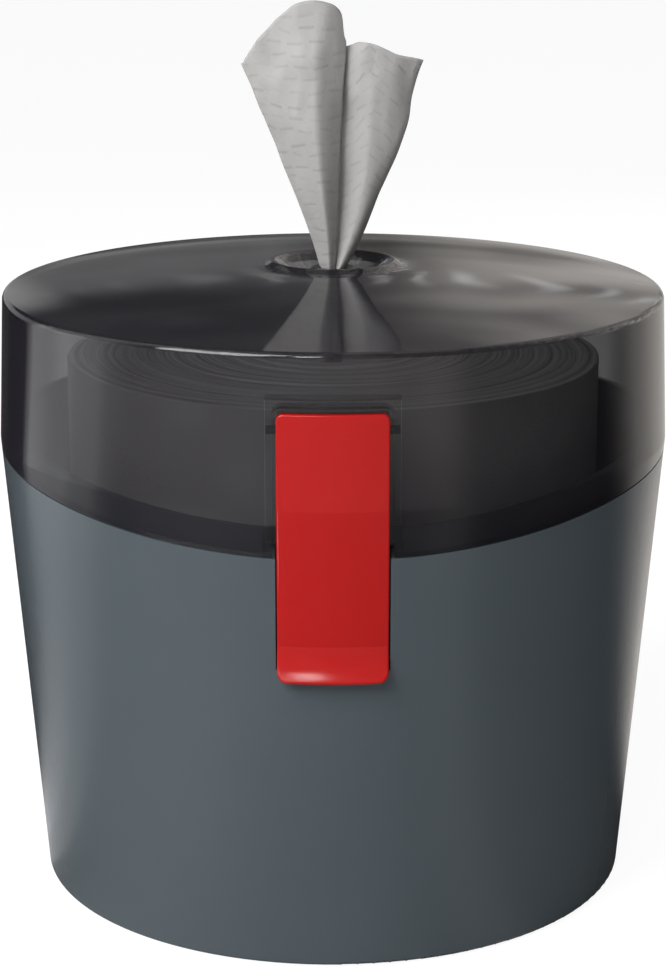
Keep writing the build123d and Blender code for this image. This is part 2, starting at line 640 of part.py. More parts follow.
def make_nozzle_diaphragm():
    """Rubber disc with a hole for the wipe and a star of slits."""
    disc_radius = NOZZLE_BORE_RADIUS - RUNNING_FIT
    disc = upright(disc_radius, diaphragm_bottom, diaphragm_top)
    disc -= upright(STRAND_RADIUS + MOVING_GAP, diaphragm_bottom, diaphragm_top)
    slit_end = disc_radius - SLIT_MARGIN
    slit = block(slit_end / 2, -SLIT_WIDTH / 2, SLIT_WIDTH / 2, diaphragm_bottom, diaphragm_top)
    slit = Pos(slit_end / 2, 0, 0) * slit
    for turn in range(DIAPHRAGM_SLITS):
        disc -= Rot(0, 0, 360 * turn / DIAPHRAGM_SLITS) * slit
    return disc


def bundle_section(y, z, half_x, half_y):
    """Rounded section of the gathered wipe, level, as four arcs about x = 0."""
    corner_x = half_x * math.sqrt(0.5)
    corner_y = half_y * math.sqrt(0.5)
    arcs = ThreePointArc((-corner_x, y - corner_y), (0, y - half_y), (corner_x, y - corner_y))
    arcs += ThreePointArc((corner_x, y - corner_y), (half_x, y), (corner_x, y + corner_y))
    arcs += ThreePointArc((corner_x, y + corner_y), (0, y + half_y), (-corner_x, y + corner_y))
    arcs += ThreePointArc((-corner_x, y + corner_y), (-half_x, y), (-corner_x, y - corner_y))
    return make_face(Plane.XY.offset(z) * arcs)


def make_wipe_strand():
    """Gathered wipe that leaves the roll's inner winding and runs up to the nozzle."""
    foot_y = ROLL_BORE_RADIUS + STRAND_ROOT_GRIP - STRAND_SECTIONS[0][3]
    foot_z = roll_top - STRAND_FOOT_DROP
    sections = []
    for climb, depth, half_width, half_thickness in STRAND_SECTIONS:
        height = foot_z + STRAND_FOOT_DROP * climb
        sections.append(bundle_section(foot_y * depth, height, half_width, half_thickness))
    for z in (strand_top - STRAND_TOP_RISE / 2, strand_top):
        sections.append(bundle_section(0, z, STRAND_RADIUS, STRAND_RADIUS))
    return loft(sections)


def fold_section(z, x_low, x_high, bulge):
    """Level section through one fold: a crescent that bulges towards the front."""
    half = TAIL_THICKNESS / 2
    middle = (x_low + x_high) / 2
    front = ThreePointArc((x_low, -half), (middle, -half - bulge), (x_high, -half))
    right = Line((x_high, -half), (x_high, half))
    back = ThreePointArc((x_high, half), (middle, half - bulge * FOLD_BACK_SHARE), (x_low, half))
    left = Line((x_low, half), (x_low, -half))
    return make_face(Plane.XY.offset(z) * (front + right + back + left))


def between(knots, share):
    """Value at a share of the height, on straight lines between (share, value) knots."""
    for (low, low_value), (high, high_value) in zip(knots, knots[1:]):
        if share <= high:
            return low_value + (high_value - low_value) * (share - low) / (high - low)
    return knots[-1][1]


def make_fold(left_edge, right_edge, bulge):
    """One fold of the wipe, lofted upwards from the nozzle between its two edge lines."""
    sections = []
    for step in range(FOLD_SECTIONS):
        progress = step / (FOLD_SECTIONS - 1)
        share = left_edge[-1][0] * progress
        swell = math.sin(math.pi * FOLD_SWELL_TURN * progress**FOLD_SWELL_POWER)
        sections.append(fold_section(nozzle_top + TAIL_HEIGHT * share, between(left_edge, share),
                                     between(right_edge, share), FOLD_START_DEPTH + bulge * swell))
    return loft(sections)


def make_wipe_tail():
    """Wipe above the nozzle: a round strand that opens into two folds with a crease between."""
    strand = upright(STRAND_RADIUS, tail_bottom, nozzle_top + STRAND_RADIUS)
    left_fold = make_fold(LEFT_FOLD_LEFT_EDGE, LEFT_FOLD_RIGHT_EDGE, LEFT_FOLD_BULGE)
    right_fold = make_fold(RIGHT_FOLD_LEFT_EDGE, RIGHT_FOLD_RIGHT_EDGE, RIGHT_FOLD_BULGE)
    return strand + left_fold + right_fold


def pieces():
    """Every node's name with its solid or group of solids."""
    return {
        "bucket_shell": make_bucket_shell(),
        "non_slip_pad": make_non_slip_pad(),
        "roll_seat": make_roll_seat(),
        "wipe_roll": make_wipe_roll(),
        "wipe_strand": make_wipe_strand(),
        "latch_catch": make_latch_catch(),
        "catch_screws": make_screw_pair(catch_seat, CATCH_SCREW_SPACING, catch_screw_z, 1),
        "hinge_bracket": make_hinge_bracket(),
        "bracket_screws": make_screw_pair(bracket_seat, BRACKET_SCREW_SPACING, bracket_screw_z, 1),
        "hinge_pin": make_hinge_pin(),
        "hinge_pin_caps": make_hinge_pin_caps(),
        "lid_cover": make_lid_cover(),
        "lid_hinge_leaf": make_lid_hinge_leaf(),
        "leaf_screws": make_screw_pair(leaf_seat, LEAF_SCREW_SPACING, leaf_screw_z, 1),
        "latch_pin": make_latch_pin(),
        "nozzle_body": make_nozzle_body(),
        "nozzle_gasket": make_nozzle_gasket(),
        "nozzle_nut": make_nozzle_nut(),
        "nozzle_diaphragm": make_nozzle_diaphragm(),
        "latch_lever": make_latch_lever(),
        "wipe_tail": make_wipe_tail(),
    }


os.makedirs("parts", exist_ok=True)
for name, piece in pieces().items():
    export_step(piece, f"parts/{name}.step")
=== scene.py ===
import math

import bpy
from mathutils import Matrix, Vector, noise


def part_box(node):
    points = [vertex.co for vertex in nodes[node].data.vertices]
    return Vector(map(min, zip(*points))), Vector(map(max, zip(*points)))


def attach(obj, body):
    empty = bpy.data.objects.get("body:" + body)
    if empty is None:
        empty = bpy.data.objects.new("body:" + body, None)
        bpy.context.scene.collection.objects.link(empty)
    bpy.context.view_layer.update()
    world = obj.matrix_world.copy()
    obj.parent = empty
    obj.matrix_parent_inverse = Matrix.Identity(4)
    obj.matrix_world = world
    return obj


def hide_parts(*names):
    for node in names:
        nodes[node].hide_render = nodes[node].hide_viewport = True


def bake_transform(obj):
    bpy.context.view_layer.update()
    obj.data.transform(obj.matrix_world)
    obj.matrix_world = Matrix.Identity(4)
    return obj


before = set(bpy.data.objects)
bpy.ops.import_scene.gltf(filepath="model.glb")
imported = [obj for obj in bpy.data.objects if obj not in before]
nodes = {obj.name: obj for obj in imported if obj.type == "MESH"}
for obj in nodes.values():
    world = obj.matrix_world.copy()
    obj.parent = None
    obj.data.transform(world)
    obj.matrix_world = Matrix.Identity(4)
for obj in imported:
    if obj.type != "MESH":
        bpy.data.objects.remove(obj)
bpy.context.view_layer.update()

# Round bucket for a roll of wipes: slate bucket, smoked lid, red latch and a wipe in the nozzle.
# Sizes are in millimetres, as in the CAD, until MM turns them to metres. The front is towards -Y.
MM = 0.001


def node_box(name):
    """Lowest and highest corners of a CAD node in millimetres, to a tenth."""
    return [[round(c / MM, 1) for c in corner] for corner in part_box(name)]


# Roll of wipes
roll_low, roll_high = node_box("wipe_roll")
ROLL_RADIUS = roll_high[0]
ROLL_BOTTOM = roll_low[2]
ROLL_TOP = roll_high[2]
ROLL_BORE = 21.0

# Wipe in the nozzle: its sheet starts just inside each CAD solid's lower end.
WEB_WIDTH = 175.0
NOZZLE_TOP = node_box("nozzle_body")[1][2]
TAIL_FOOT = node_box("wipe_tail")[0][2] + 1.0
STRAND_FOOT = node_box("wipe_strand")[0][2] + 0.3
STRAND_TOP = TAIL_FOOT + 0.6

# Latch pocket of the lid: what lies inside this radius, under this height and before this depth
POCKET_BEHIND = 107.3
POCKET_UNDER = 190.0
POCKET_FRONT = -95.0


# Small helpers

def hex_colour(text):
    """Linear colour of an sRGB hex value."""
    parts = [int(text[i:i + 2], 16) / 255 for i in (0, 2, 4)]
    return tuple(p / 12.92 if p <= 0.04045 else ((p + 0.055) / 1.055) ** 2.4 for p in parts) + (1.0,)


def add(tree, kind, inputs=None, **settings):
    """Adds a shader node with its settings; an input is a value, or a socket to link."""
    made = tree.nodes.new("ShaderNode" + kind)
    for name, value in settings.items():
        setattr(made, name, value)
    for name, value in (inputs or {}).items():
        if isinstance(value, bpy.types.NodeSocket):
            tree.links.new(value, made.inputs[name])
        else:
            made.inputs[name].default_value = value
    return made


def new_material(name):
    """Empty material with its node tree and output node."""
    made = bpy.data.materials.new(name)
    made.use_nodes = True
    tree = made.node_tree
    tree.nodes.clear()
    return made, tree, add(tree, "OutputMaterial")


def mesh_piece(name, points, faces, material, smooth=True):
    """Mesh object from points in millimetres."""
    mesh = bpy.data.meshes.new(name)
    mesh.from_pydata([tuple(c * MM for c in p) for p in points], [], faces)
    mesh.materials.append(material)
    mesh.validate()
    for face in mesh.polygons:
        face.use_smooth = smooth
    made = bpy.data.objects.new(name, mesh)
    bpy.context.scene.collection.objects.link(made)
    return made


def dress(material, *names):
    """Gives CAD nodes a material."""
    for name in names:
        mesh = nodes[name].data
        mesh.materials.clear()
        mesh.materials.append(material)


# Moulded plastics and rubber

CLOUD_SIZE = 60.0


def moulded_plastic(name, colour, roughness, wave, wave_depth, shade=0.06, gloss=0.5):
    """Moulded plastic: even colour with faint flow clouds, and a skin with slow, shallow waves."""
    made, tree, out = new_material(name)
    place = add(tree, "TexCoord").outputs["Object"]
    clouds = add(tree, "TexNoise", {"Vector": place, "Scale": 1 / (CLOUD_SIZE * MM), "Detail": 3.0})
    tint = add(tree, "MapRange", {"Value": clouds.outputs["Fac"], "To Min": 1 - shade, "To Max": 1 + shade})
    mixed = add(tree, "VectorMath", {0: hex_colour(colour)[:3], 3: tint.outputs["Result"]}, operation="SCALE")
    skin = add(tree, "TexNoise", {"Vector": place, "Scale": 1 / (wave * MM), "Detail": 2.0})
    bump = add(tree, "Bump", {"Height": skin.outputs["Fac"], "Strength": 1.0, "Distance": wave_depth * MM})
    grain = add(tree, "MapRange", {"Value": skin.outputs["Fac"], "To Min": roughness * 0.85,
                                   "To Max": roughness * 1.15})
    shader = add(tree, "BsdfPrincipled", {"Base Color": mixed.outputs["Vector"],
                                          "Roughness": grain.outputs["Result"],
                                          "IOR": 1.49, "Specular IOR Level": gloss,
                                          "Normal": bump.outputs["Normal"]})
    tree.links.new(shader.outputs["BSDF"], out.inputs["Surface"])
    return made


# Polypropylene from a polished mould: slate with a soft gloss that blurs what it mirrors.
slate = moulded_plastic("slate_moulded_polypropylene", "4A5257", roughness=0.20, wave=9.0, wave_depth=0.004)
# ABS from a polished mould: a deep, even red with small, clear highlights.
red = moulded_plastic("red_moulded_abs", "A81918", roughness=0.16, wave=9.0, wave_depth=0.003,
                      shade=0.02, gloss=0.3)
# Acetal with a fine spark-eroded skin, drawn coarse enough to show: black with a dull sheen.
black = moulded_plastic("black_moulded_acetal", "141416", roughness=0.32, wave=1.2, wave_depth=0.006)
# Rubber: black and nearly matt, with a fine grain that is drawn coarse enough to show.
rubber = moulded_plastic("black_moulded_rubber", "17171A", roughness=0.55, wave=0.8, wave_depth=0.01)


# Drawn steel

# The real grooves are far finer; they are drawn this wide to show.
GROOVE_WIDTH = 0.25
GROOVE_DEPTH = 0.01
GROOVE_STRETCH = 0.03


def drawn_steel(name, colour):
    """Drawn steel wire: bright metal with fine grooves along X, the way that the hinge pin lies."""
    made, tree, out = new_material(name)
    place = add(tree, "TexCoord").outputs["Object"]
    drawn = add(tree, "VectorMath", {0: place, 1: (GROOVE_STRETCH, 1.0, 1.0)}, operation="MULTIPLY")
    grooves = add(tree, "TexNoise", {"Vector": drawn.outputs["Vector"], "Scale": 1 / (GROOVE_WIDTH * MM),
                                     "Detail": 3.0})
    rough = add(tree, "MapRange", {"Value": grooves.outputs["Fac"], "To Min": 0.22, "To Max": 0.42})
    bump = add(tree, "Bump", {"Height": grooves.outputs["Fac"], "Strength": 0.6,
                              "Distance": GROOVE_DEPTH * MM})
    shader = add(tree, "BsdfPrincipled", {"Base Color": hex_colour(colour), "Metallic": 1.0,
                                          "Roughness": rough.outputs["Result"],
                                          "Normal": bump.outputs["Normal"]})
    tree.links.new(shader.outputs["BSDF"], out.inputs["Surface"])
    return made


steel = drawn_steel("drawn_steel_wire", "B9BBBE")


# Smoked plastic of the lid

SMOKED_WAVE = 14.0
SMOKED_WAVE_DEPTH = 0.003
# How much of what is behind a wall its tint hides, from a square look to a grazing one
HIDDEN_SQUARE = 0.46
HIDDEN_SLANTING = ((0.46, 0.5), (0.62, 0.82), (0.8, 0.93))
HIDDEN_GRAZING = 0.96


def in_latch_pocket(tree, place):
    """1 on the walls of the latch pocket and on its pin, which lie behind the lid's wall, and else 0."""
    split = add(tree, "SeparateXYZ", {"Vector": place})
    flat = add(tree, "CombineXYZ", {"X": split.outputs["X"], "Y": split.outputs["Y"]})
    radius = add(tree, "VectorMath", {0: flat.outputs["Vector"]}, operation="LENGTH")
    behind = add(tree, "Math", {0: radius.outputs["Value"], 1: POCKET_BEHIND * MM}, operation="LESS_THAN")
    low = add(tree, "Math", {0: split.outputs["Z"], 1: POCKET_UNDER * MM}, operation="LESS_THAN")
    front = add(tree, "Math", {0: split.outputs["Y"], 1: POCKET_FRONT * MM}, operation="LESS_THAN")
    low_behind = add(tree, "Math", {0: behind.outputs[0], 1: low.outputs[0]}, operation="MULTIPLY")
    pocket = add(tree, "Math", {0: low_behind.outputs[0], 1: front.outputs[0]}, operation="MULTIPLY")
    return pocket.outputs[0]


def smoked_plastic(name, colour):
    """SAN, tinted and moulded in a polished tool: dark and see-through, with a hard, clear gloss."""
    made, tree, out = new_material(name)
    coords = add(tree, "TexCoord")
    place = coords.outputs["Object"]
    skin = add(tree, "TexNoise", {"Vector": place, "Scale": 1 / (SMOKED_WAVE * MM), "Detail": 1.0})
    bump = add(tree, "Bump", {"Height": skin.outputs["Fac"], "Strength": 1.0,
                              "Distance": SMOKED_WAVE_DEPTH * MM})
    # A slanting look passes through more of the tinted wall, so it shows less of what is behind.
    slant = add(tree, "LayerWeight", {"Blend": 0.5})
    hidden = add(tree, "ValToRGB", {"Fac": slant.outputs["Facing"]})
    stops = hidden.color_ramp.elements
    stops[0].color = (HIDDEN_SQUARE, HIDDEN_SQUARE, HIDDEN_SQUARE, 1)
    for at, level in HIDDEN_SLANTING:
        stops.new(at).color = (level, level, level, 1)
    stops[-1].color = (HIDDEN_GRAZING, HIDDEN_GRAZING, HIDDEN_GRAZING, 1)
    # Behind the lid's wall, pocket walls that run along Y hide nothing, and those across Y hide as
    # much as the lid's wall does from the front.
    facing = add(tree, "SeparateXYZ", {"Vector": coords.outputs["Normal"]})
    frontal = add(tree, "Math", {0: facing.outputs["Y"]}, operation="ABSOLUTE")
    hidden_pocket = add(tree, "Math", {0: frontal.outputs[0], 1: HIDDEN_SQUARE}, operation="MULTIPLY")
    alpha = add(tree, "Mix", {"Factor": in_latch_pocket(tree, place), "A": hidden.outputs["Color"],
                              "B": hidden_pocket.outputs[0]}, data_type="FLOAT")
    shader = add(tree, "BsdfPrincipled", {"Base Color": hex_colour(colour), "Roughness": 0.06, "IOR": 1.57,
                                          "Specular IOR Level": 0.75, "Alpha": alpha.outputs["Result"],
                                          "Normal": bump.outputs["Normal"]})
    tree.links.new(shader.outputs["BSDF"], out.inputs["Surface"])
    return made


smoked = smoked_plastic("smoked_moulded_san", "1E1C22")


# Wipe cloth

# The sheets' maps count in steps of 100 mm, from a start that keeps them above zero.
MAP_STEP = 100.0
MAP_START = 3
ROW_SPACING = 4.1
DASH_SPACING = 7.4
ROW_SWAY = 2.0
ROW_SWAY_LENGTH = 16.0
LINT_SIZE = 1.1
CLOTH_CLOUD_SIZE = 7.0
EMBOSS_DEPTH = 0.25
CLOTH_LIGHT_REACH = 2.5


def embossed_dashes(tree, cloth_map):
    """How hard the cloth is pressed, from 0 to 1: a dash of 5 to 6 mm in each spacing of each row."""
    sway = add(tree, "TexNoise", {"Vector": cloth_map, "Scale": MAP_STEP / ROW_SWAY_LENGTH})
    sway_size = (ROW_SWAY / MAP_STEP, ROW_SWAY / MAP_STEP, 0.0)
    swayed = add(tree, "VectorMath", {0: sway.outputs["Color"], 1: sway_size, 2: cloth_map},
                 operation="MULTIPLY_ADD")
    split = add(tree, "SeparateXYZ", {"Vector": swayed.outputs["Vector"]})
    up = add(tree, "Math", {0: split.outputs["Y"], 1: ROW_SPACING / MAP_STEP}, operation="DIVIDE")
    row = add(tree, "Math", {0: up.outputs[0]}, operation="FLOOR")
    row_start = add(tree, "TexWhiteNoise", {"W": row.outputs[0]}, noise_dimensions="1D")
    along = add(tree, "Math", {0: split.outputs["X"], 1: DASH_SPACING / MAP_STEP}, operation="DIVIDE")
    run = add(tree, "Math", {0: row_start.outputs["Value"], 1: 5.0, 2: along.outputs[0]},
              operation="MULTIPLY_ADD")
    number = add(tree, "Math", {0: run.outputs[0]}, operation="FLOOR")
    seed = add(tree, "CombineXYZ", {"X": number.outputs[0], "Y": row.outputs[0]})
    own = add(tree, "TexWhiteNoise", {"Vector": seed.outputs["Vector"]}, noise_dimensions="3D")
    lots = add(tree, "SeparateXYZ", {"Vector": own.outputs["Color"]})
    run_in = add(tree, "Math", {0: run.outputs[0]}, operation="FRACT")
    run_off = add(tree, "Math", {0: run_in.outputs[0], 1: 0.5}, operation="SUBTRACT")
    # Each dash lies a little off its row, off level, and has a length and a strength of its own.
    tilt = add(tree, "MapRange", {"Value": lots.outputs["X"], "To Min": -0.45, "To Max": 0.45})
    shift = add(tree, "MapRange", {"Value": lots.outputs["Y"], "To Min": 0.32, "To Max": 0.68})
    middle = add(tree, "Math", {0: run_off.outputs[0], 1: tilt.outputs["Result"],
                                2: shift.outputs["Result"]}, operation="MULTIPLY_ADD")
    row_in = add(tree, "Math", {0: up.outputs[0]}, operation="FRACT")
    row_off = add(tree, "Math", {0: row_in.outputs[0], 1: middle.outputs[0]}, operation="SUBTRACT")
    row_gap = add(tree, "Math", {0: row_off.outputs[0]}, operation="ABSOLUTE")
    wide = add(tree, "MapRange", {"Value": row_gap.outputs[0], "From Min": 0.02, "From Max": 0.19,
                                  "To Min": 1.0, "To Max": 0.0}, interpolation_type="SMOOTHSTEP")
    run_gap = add(tree, "Math", {0: run_off.outputs[0]}, operation="ABSOLUTE")
    end = add(tree, "MapRange", {"Value": own.outputs["Value"], "To Min": 0.34, "To Max": 0.44})
    left = add(tree, "Math", {0: end.outputs["Result"], 1: run_gap.outputs[0]}, operation="SUBTRACT")
    long = add(tree, "MapRange", {"Value": left.outputs[0], "From Min": 0.0, "From Max": 0.08},
               interpolation_type="SMOOTHSTEP")
    strength = add(tree, "MapRange", {"Value": lots.outputs["Z"], "To Min": 0.15, "To Max": 1.0})
    dash = add(tree, "Math", {0: wide.outputs["Result"], 1: long.outputs["Result"]}, operation="MULTIPLY")
    pressed = add(tree, "Math", {0: dash.outputs[0], 1: strength.outputs["Result"]}, operation="MULTIPLY")
    return pressed.outputs[0]


def nonwoven_cloth(name, colour):
    """Hydroentangled wipe: soft matt web, embossed with short dashes in uneven rows."""
    made, tree, out = new_material(name)
    coords = add(tree, "TexCoord")
    place = coords.outputs["Object"]
    lint = add(tree, "TexNoise", {"Vector": place, "Scale": 1 / (LINT_SIZE * MM), "Detail": 4.0})
    cloud = add(tree, "TexNoise", {"Vector": place, "Scale": 1 / (CLOTH_CLOUD_SIZE * MM), "Detail": 2.0})
    pressed = embossed_dashes(tree, coords.outputs["UV"])
    height = add(tree, "Math", {0: pressed, 1: -0.5, 2: lint.outputs["Fac"]}, operation="MULTIPLY_ADD")
    bump = add(tree, "Bump", {"Height": height.outputs[0], "Strength": 0.45, "Distance": EMBOSS_DEPTH * MM})
    shade = add(tree, "MapRange", {"Value": cloud.outputs["Fac"], "To Min": 0.94, "To Max": 1.06})
    # The pressed dashes are drawn a little darker: partly the thinner, closer cloth, partly painted shade in
    # their shallow hollows.
    dark = add(tree, "Math", {0: pressed, 1: -0.16, 2: shade.outputs["Result"]}, operation="MULTIPLY_ADD")
    tint = add(tree, "VectorMath", {0: hex_colour(colour)[:3], 3: dark.outputs[0]}, operation="SCALE")
    shader = add(tree, "BsdfPrincipled", {"Base Color": tint.outputs["Vector"], "Roughness": 0.92,
                                          "Specular IOR Level": 0.25, "Sheen Weight": 0.15,
                                          "Sheen Roughness": 0.6, "Subsurface Weight": 0.12,
                                          "Subsurface Radius": (1.0, 1.0, 1.0),
                                          "Subsurface Scale": CLOTH_LIGHT_REACH * MM,
                                          "Normal": bump.outputs["Normal"]})
    tree.links.new(shader.outputs["BSDF"], out.inputs["Surface"])
    return made


wipe_cloth = nonwoven_cloth("embossed_nonwoven_wipe", "A6A4A2")

# Turns of the roll are 0.35 mm apart; their rings of painted shade are drawn in groups of this width, as the
# eye sees them.
TURN_GROUP = 1.6
TURN_WANDER = 2.0
TURN_WANDER_LENGTH = 55.0
ROLL_LINT_SIZE = 1.2
ROLL_LINT_DEPTH = 0.4


def wound_cloth(name, colour):
    """Wound roll of the same cloth: each turn's edge is a fine dark ring of painted shade on the two ends,
    for the gaps between turns.
    """
    made, tree, out = new_material(name)
    place = add(tree, "TexCoord").outputs["Object"]
    split = add(tree, "SeparateXYZ", {"Vector": place})
    flat = add(tree, "CombineXYZ", {"X": split.outputs["X"], "Y": split.outputs["Y"]})
    radius = add(tree, "VectorMath", {0: flat.outputs["Vector"]}, operation="LENGTH")
    wander = add(tree, "TexNoise", {"Vector": place, "Scale": 1 / (TURN_WANDER_LENGTH * MM), "Detail": 2.0})
    bent = add(tree, "Math", {0: wander.outputs["Fac"], 1: TURN_WANDER * MM, 2: radius.outputs["Value"]},
               operation="MULTIPLY_ADD")
    ring = add(tree, "CombineXYZ", {"X": bent.outputs[0]})
    turns = add(tree, "TexNoise", {"Vector": ring.outputs["Vector"], "Scale": 1 / (TURN_GROUP * MM),
                                   "Detail": 3.0})
    lint = add(tree, "TexNoise", {"Vector": place, "Scale": 1 / (ROLL_LINT_SIZE * MM), "Detail": 3.0})
    # Painted shade and light: rings darker and lighter than the cloth, for the gaps and edges of the turns.
    shade = add(tree, "MapRange", {"Value": turns.outputs["Fac"], "From Min": 0.35, "From Max": 0.65,
                                   "To Min": 0.45, "To Max": 1.15})
    tint = add(tree, "VectorMath", {0: hex_colour(colour)[:3], 3: shade.outputs["Result"]}, operation="SCALE")
    bump = add(tree, "Bump", {"Height": lint.outputs["Fac"], "Strength": 0.5,
                              "Distance": ROLL_LINT_DEPTH * MM})
    shader = add(tree, "BsdfPrincipled", {"Base Color": tint.outputs["Vector"], "Roughness": 0.95,
                                          "Specular IOR Level": 0.2, "Normal": bump.outputs["Normal"]})
    tree.links.new(shader.outputs["BSDF"], out.inputs["Surface"])
    return made


roll_cloth = wound_cloth("wound_nonwoven_roll", "BDBBB8")

dress(slate, "bucket_shell", "roll_seat", "latch_catch", "hinge_bracket", "hinge_pin_caps", "lid_hinge_leaf")
dress(smoked, "lid_cover", "latch_pin")
dress(red, "latch_lever")
dress(black, "nozzle_body", "nozzle_nut")
dress(rubber, "non_slip_pad", "nozzle_gasket", "nozzle_diaphragm")
dress(steel, "catch_screws", "bracket_screws", "leaf_screws", "hinge_pin")


# Wound roll

ROLL_SIDES = 160
TURN_STEPS = 60
TURN_INSET = 0.6
TURN_DROP = 1.3
# Two waves lift the turns' edges: height, radians from one step to the next, and start. The lift
# changes slowly round the roll, by this mean, scale, and rates round it and outwards.
TURN_LIFTS = ((0.55, 2.4, 0.0), (0.45, 1.13, 1.0))
LIFT_MEAN = 0.6
LIFT_SCALE = 0.9
LIFT_RATE_ROUND = 1.5
LIFT_RATE_OUT = 0.11
BORE_EDGE_DROP = 1.6
RIM_EDGE_DROP = 1.8
FOOT_CHAMFER_IN = 0.8
FOOT_CHAMFER_UP = 1.0


def roll_profile():
    """Section of the roll, up its bore, over its turns and down its outside: (radius, z, lift)."""
    profile = [(ROLL_BORE, ROLL_BOTTOM + FOOT_CHAMFER_UP, 0), (ROLL_BORE, ROLL_TOP - BORE_EDGE_DROP, 0)]
    for step in range(TURN_STEPS + 1):
        share = step / TURN_STEPS
        radius = ROLL_BORE + TURN_INSET + (ROLL_RADIUS - ROLL_BORE - 2 * TURN_INSET) * share
        lift = sum(height * math.sin(step * turn + start) for height, turn, start in TURN_LIFTS)
        profile.append((radius, ROLL_TOP - TURN_DROP, lift))
    profile.append((ROLL_RADIUS, ROLL_TOP - RIM_EDGE_DROP, 0))
    profile.append((ROLL_RADIUS, ROLL_BOTTOM + FOOT_CHAMFER_UP, 0))
    profile.append((ROLL_RADIUS - FOOT_CHAMFER_IN, ROLL_BOTTOM, 0))
    profile.append((ROLL_BORE + FOOT_CHAMFER_IN, ROLL_BOTTOM, 0))
    return profile


def wound_roll():
    """Roll turned about the axis, with the edges of its turns standing up and down a little."""
    profile = roll_profile()
    points, faces = [], []
    for radius, z, lift in profile:
        for side in range(ROLL_SIDES):
            angle = 2 * math.pi * side / ROLL_SIDES
            along, aside = math.cos(angle), math.sin(angle)
            sway = noise.noise(Vector((along * LIFT_RATE_ROUND, aside * LIFT_RATE_ROUND,
                                       radius * LIFT_RATE_OUT)))
            top = z + lift * (LIFT_MEAN + sway) * LIFT_SCALE if lift else z
            points.append((radius * along, radius * aside, min(top, ROLL_TOP)))
    for row in range(len(profile)):
        low = row * ROLL_SIDES
        high = (row + 1) % len(profile) * ROLL_SIDES
        for side in range(ROLL_SIDES):
            after = (side + 1) % ROLL_SIDES
            faces.append((low + side, high + side, high + after, low + after))
    made = mesh_piece("wound_roll", points, faces, roll_cloth)
    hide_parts("wipe_roll")
    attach(made, "bucket")


wound_roll()


# Sheets of cloth

def straight_from(knot, other, at):
    """Value at a place, on the straight line through two (place, value) knots."""
    return knot[1] + (other[1] - knot[1]) * (at - knot[0]) / (other[0] - knot[0])


def smooth_between(knots, at):
    """Value at a place, on a smooth line through (place, value) knots, and straight beyond its ends."""
    if at <= knots[0][0]:
        return straight_from(knots[0], knots[1], at)
    if at >= knots[-1][0]:
        return straight_from(knots[-1], knots[-2], at)
    i = max(i for i in range(len(knots) - 1) if knots[i][0] <= at)
    (a, at_a), (b, at_b) = knots[i:i + 2]
    before = knots[i - 1] if i > 0 else (2 * a - b, 2 * at_a - at_b)
    after = knots[i + 2] if i + 2 < len(knots) else (2 * b - a, 2 * at_b - at_a)
    slope_a = (at_b - before[1]) / (b - before[0])
    slope_b = (after[1] - at_a) / (after[0] - a)
    width = b - a
    t = (at - a) / width
    return ((2 * t**3 - 3 * t**2 + 1) * at_a + (t**3 - 2 * t**2 + t) * width * slope_a
            + (-2 * t**3 + 3 * t**2) * at_b + (t**3 - t**2) * width * slope_b)


def sheet_piece(name, points, map_points, across, up):
    """Sheet of wipe cloth from rows of points, with its map for the embossing."""
    width = across + 1
    faces = []
    for row in range(up):
        for column in range(across):
            start = row * width + column
            faces.append((start, start + 1, start + width + 1, start + width))
    made = mesh_piece(name, points, faces, wipe_cloth)
    layer = made.data.uv_layers.new(name="cloth")
    for loop in made.data.loops:
        layer.data[loop.index].uv = map_points[loop.vertex_index]
    return made


# Wipe above the nozzle

# Its front folds, from its left silhouette to its right one: share of the web's width, and
# (z, x, y) at rising heights
FRONT_FOLDS = [
    (0.295, [(207, -4.1, 0.2), (217, -7.0, 0.8), (232, -12.6, 2.0), (255, -21.8, 4.6), (276, -30.4, 6.4)]),
    (0.445, [(207, -1.3, -3.2), (217, -2.0, -4.4), (232, -3.7, -6.4), (255, -6.3, -7.6), (276, -6.4, -6.2)]),
    (0.500, [(207, 0.2, -1.9), (217, 0.7, -2.3), (232, 1.2, -2.5), (255, 2.0, -2.0), (276, 3.4, -1.4)]),
    (0.535, [(207, 0.8, -0.4), (217, 1.7, 0.4), (232, 2.5, 1.3), (255, 3.2, 2.0), (276, 3.8, 2.2)]),
    (0.610, [(207, 2.2, -2.6), (217, 6.0, -3.2), (232, 10.0, -3.5), (255, 13.2, -3.3), (276, 12.6, -2.8)]),
    (0.705, [(207, 4.2, -0.2), (217, 9.3, -0.2), (232, 15.3, 0.3), (246, 21.6, 1.0), (256, 24.8, 1.5),
             (264, 25.8, 1.8), (270, 27.4, 2.0), (276, 29.6, 2.2)]),
]
CREASE_FOLD = 3
LEFT_RIDGE = FRONT_FOLDS[1][0]
CREASE = FRONT_FOLDS[CREASE_FOLD][0]
RIGHT_RIDGE = FRONT_FOLDS[4][0]
# Height of its top edge over the front folds, at shares of the web's width
TOP_EDGE = [(0.295, 274), (0.34, 280.8), (0.39, 289.3), (0.42, 294.0), (0.455, 295.0), (0.485, 291.5),
            (0.502, 282.5), (0.535, 280), (0.56, 280.6), (0.585, 281.6), (0.62, 280.8), (0.655, 277.6),
            (0.705, 275.6)]
# How far back the folds behind reach, at rising heights, and how many pleats each side has
BACK_REACH = [(207, 3.6), (217, 6.4), (232, 11.0), (255, 15.4), (276, 18.0)]
BACK_PLEATS = 4
# Where the first turn of a pleat lies, and what is left free in the middle, in turns
FIRST_TURN = 0.7
MIDDLE_GAP = 0.4
MIDDLE_WEB = 0.5
# How round the back is, and how far its inner turns stay behind the front, as shares of its reach
BACK_ROUND = 0.9
CREASE_GAP = 0.12
INNER_GAP = 0.14
# How uneven the turns are, backwards and sideways, and how fast that changes from turn to turn and
# with the height
UNEVEN_BACK, UNEVEN_BACK_RATE = 0.05, 2.1
UNEVEN_ASIDE, UNEVEN_ASIDE_RATE, UNEVEN_RISE_RATE = 0.04, 1.7, 0.02

